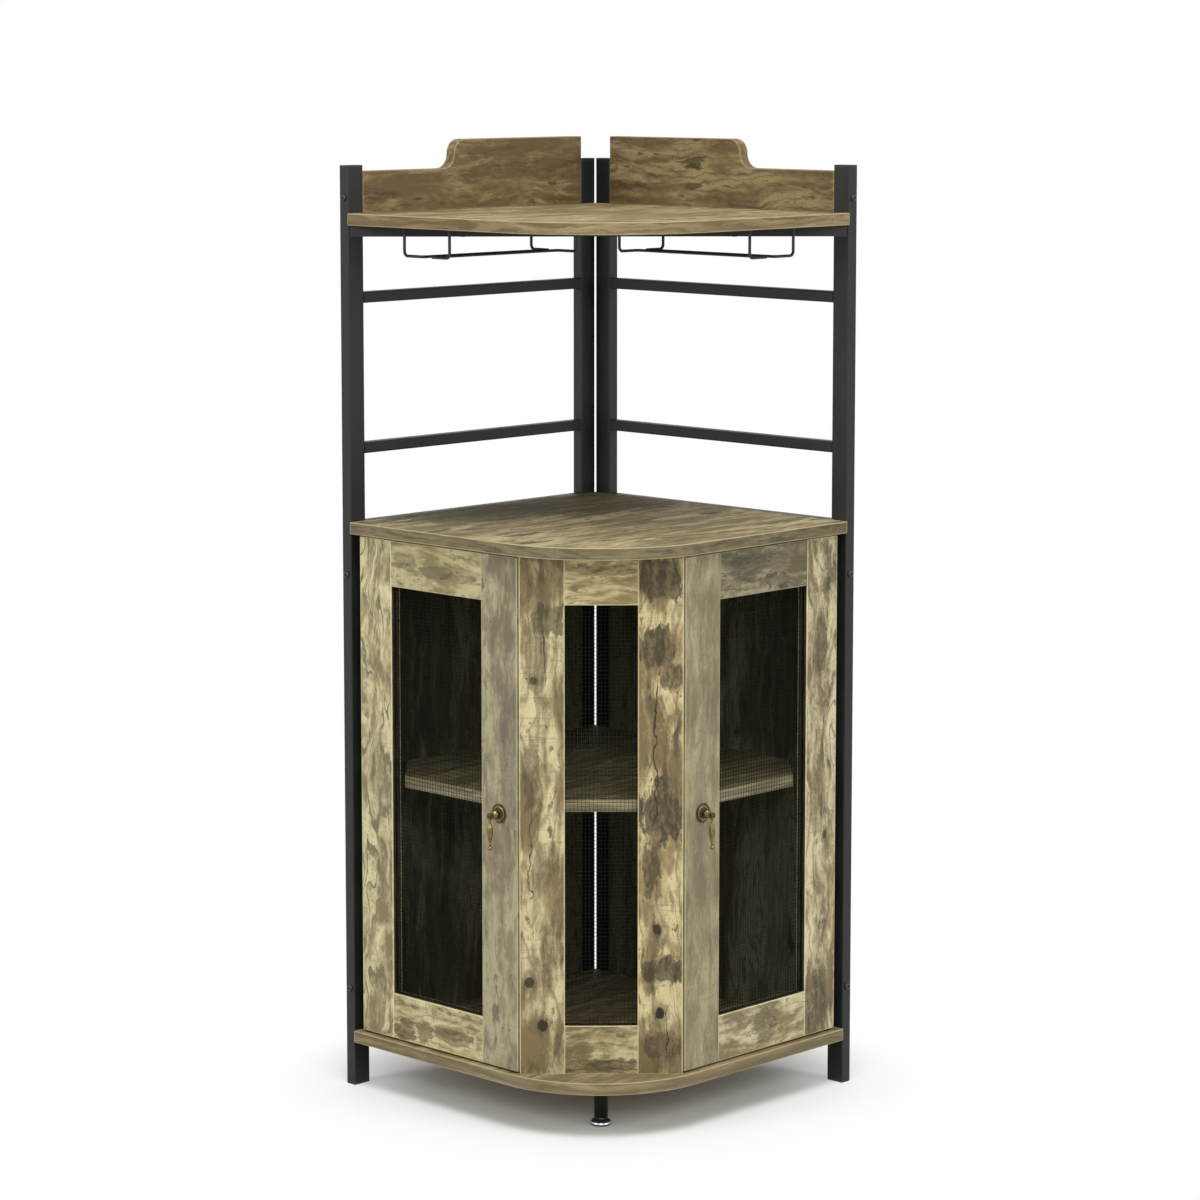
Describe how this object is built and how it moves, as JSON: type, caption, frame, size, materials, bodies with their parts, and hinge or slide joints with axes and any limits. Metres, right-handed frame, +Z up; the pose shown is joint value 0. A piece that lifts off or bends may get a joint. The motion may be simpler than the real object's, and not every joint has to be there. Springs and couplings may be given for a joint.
{
  "type": "corner bar cabinet",
  "caption": "Corner bar cabinet with two black tube side frames, rounded rustic boards, mesh doors, open worktop and hanging glass racks.",
  "frame": {"origin": "centre of the bounding box's underside, on the floor", "axes": "+X to the cabinet's right as seen from the front, +Y back to the room corner, +Z up"},
  "size_m": [0.6844, 0.6025, 1.276],
  "materials": {
    "black_powder_coat": "satin powder coat",
    "black_mesh": "satin powder coat",
    "rustic_board": "matt printed board with a rustic plank pattern",
    "antique_brass": "antique",
    "zinc_steel": "zinc plated",
    "black_plastic": "matt",
    "plain_dowel": "plain beech"
  },
  "bodies": {
    "frame": {"left_front_post": "black_powder_coat", "right_front_post": "black_powder_coat", "left_rear_post": "black_powder_coat", "right_rear_post": "black_powder_coat", "left_bottom_rail": "black_powder_coat", "right_bottom_rail": "black_powder_coat", "left_worktop_rail": "black_powder_coat", "right_worktop_rail": "black_powder_coat", "left_lower_guard_rail": "black_powder_coat", "right_lower_guard_rail": "black_powder_coat", "left_upper_guard_rail": "black_powder_coat", "right_upper_guard_rail": "black_powder_coat", "left_shelf_rail": "black_powder_coat", "right_shelf_rail": "black_powder_coat", "front_cross_tube": "black_powder_coat", "post_plugs": "black_plastic", "bottom_board": "rustic_board", "worktop": "rustic_board", "top_shelf": "rustic_board", "left_rear_panel": "rustic_board", "right_rear_panel": "rustic_board", "left_backboard": "rustic_board", "right_backboard": "rustic_board", "inner_shelf": "rustic_board", "shelf_pins": "zinc_steel", "centre_left_stile": "rustic_board", "centre_right_stile": "rustic_board", "centre_top_rail": "rustic_board", "centre_bottom_rail": "rustic_board", "centre_mesh": "black_mesh", "centre_dowels": "plain_dowel", "frame_bolts": "black_powder_coat", "wood_screws": "zinc_steel", "left_rack_wall_wire": "black_powder_coat", "left_rack_room_wire": "black_powder_coat", "right_rack_wall_wire": "black_powder_coat", "right_rack_room_wire": "black_powder_coat", "centre_leg": "black_powder_coat", "leg_insert": "black_plastic", "pivot_bushes": "black_plastic", "door_catches": "black_plastic"},
    "left_door": {"left_door_hinge_stile": "rustic_board", "left_door_pull_stile": "rustic_board", "left_door_top_rail": "rustic_board", "left_door_bottom_rail": "rustic_board", "left_door_mesh": "black_mesh", "left_door_pivots": "zinc_steel", "left_door_strike": "zinc_steel", "left_pull_plate": "antique_brass"},
    "right_door": {"right_door_hinge_stile": "rustic_board", "right_door_pull_stile": "rustic_board", "right_door_top_rail": "rustic_board", "right_door_bottom_rail": "rustic_board", "right_door_mesh": "black_mesh", "right_door_pivots": "zinc_steel", "right_door_strike": "zinc_steel", "right_pull_plate": "antique_brass"},
    "left_drop": {"left_pull_drop": "antique_brass"},
    "right_drop": {"right_pull_drop": "antique_brass"},
    "leveller": {"leveller_foot": "zinc_steel"}
  },
  "joints": [
    {"name": "left_door_hinge", "type": "hinge", "parent": "frame", "child": "left_door", "pos_m": [-0.30759, -0.04396, 0.4155], "axis": [0, 0, -1], "range_deg": [0, 90]},
    {"name": "right_door_hinge", "type": "hinge", "parent": "frame", "child": "right_door", "pos_m": [0.30759, -0.04396, 0.4155], "axis": [0, 0, 1], "range_deg": [0, 90]},
    {"name": "left_drop_swing", "type": "hinge", "parent": "left_door", "child": "left_drop", "pos_m": [-0.14359, -0.24331, 0.4155], "axis": [-0.7071, 0.7071, 0], "range_deg": [0, 75]},
    {"name": "right_drop_swing", "type": "hinge", "parent": "right_door", "child": "right_drop", "pos_m": [0.14359, -0.24331, 0.4155], "axis": [-0.7071, -0.7071, 0], "range_deg": [0, 75]},
    {"name": "leveller_turn", "type": "hinge", "parent": "frame", "child": "leveller", "pos_m": [0, -0.22528, 0], "axis": [0, 0, 1], "continuous": true}
  ]
}
